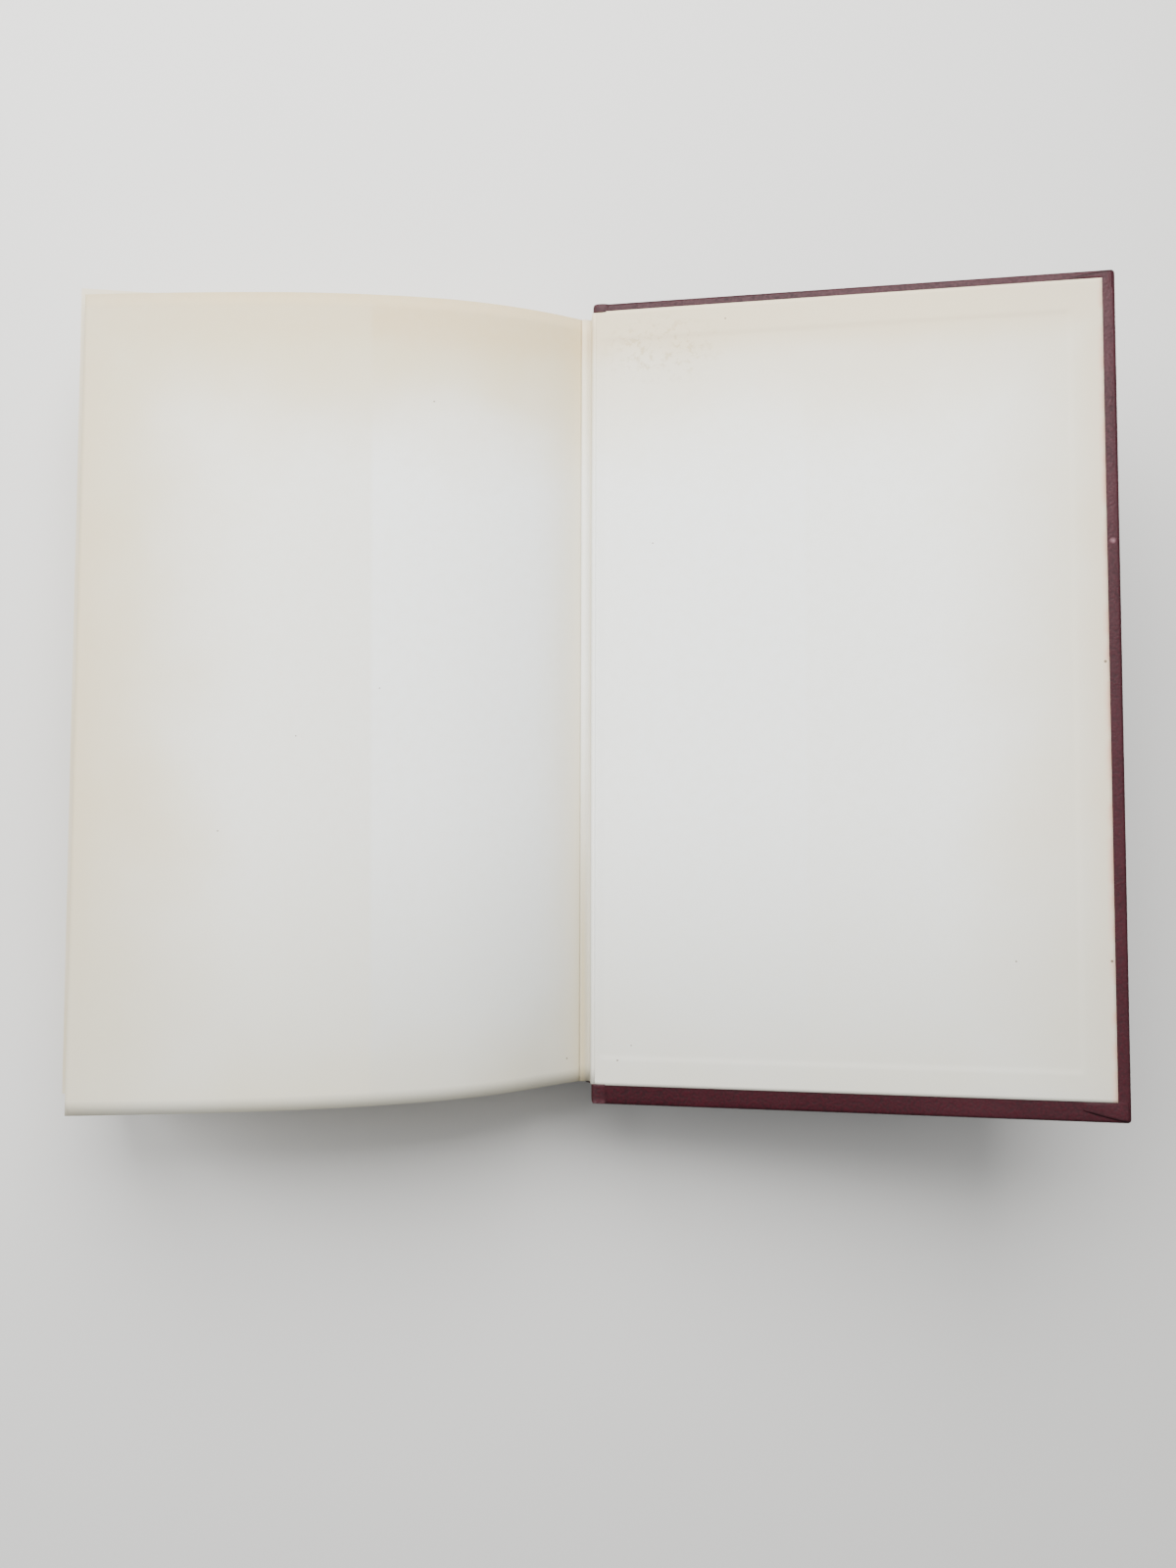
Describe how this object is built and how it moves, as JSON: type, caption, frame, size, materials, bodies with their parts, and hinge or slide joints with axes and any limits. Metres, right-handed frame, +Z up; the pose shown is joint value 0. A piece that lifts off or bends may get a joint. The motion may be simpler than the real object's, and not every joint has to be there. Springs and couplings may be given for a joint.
{
  "type": "open book",
  "caption": "Open hardcover book on its front cover, back board swung open past a curved free endpaper; leatherette case, blank cream endpapers.",
  "frame": {"origin": "on the outside face of the front cover, which is the face it rests on, midway across the board and at mid-height of the pages", "axes": "+X from the fore edge over the spine to the opened back cover, +Y towards the head of the book, +Z up"},
  "size_m": [0.2788, 0.2237, 0.0707],
  "materials": {
    "bookcloth": "fine-grained burgundy leatherette, satin",
    "endpaper": "matt off-white wove paper with cream toning at its edges",
    "page_paper": "trimmed edges of a stack of cream pages",
    "greyboard": "matt grey binder's board",
    "mull": "open-weave cotton gauze set in glue"
  },
  "bodies": {
    "pages_and_spine": {"text_block": "page_paper", "front_endpaper_leaf": "endpaper", "back_endpaper_leaf": "endpaper", "spine_mull": "mull", "spine_card": "greyboard", "spine_cloth": "bookcloth"},
    "front_cover": {"front_board": "greyboard", "front_cover_cloth": "bookcloth", "front_pastedown": "endpaper"},
    "back_cover": {"back_board": "greyboard", "back_cover_cloth": "bookcloth", "back_pastedown": "endpaper"}
  },
  "joints": [
    {"name": "back_cover_hinge", "type": "hinge", "parent": "pages_and_spine", "child": "back_cover", "pos_m": [0.07188, 0, 0.0322], "axis": [0, 1, 0], "range_deg": [-163.04, 14.9], "deforming": ["back_endpaper_leaf"]},
    {"name": "front_cover_hinge", "type": "hinge", "parent": "pages_and_spine", "child": "front_cover", "pos_m": [0.07188, 0, 0.00152], "axis": [0, -1, 0], "range_deg": [0, 180]}
  ]
}
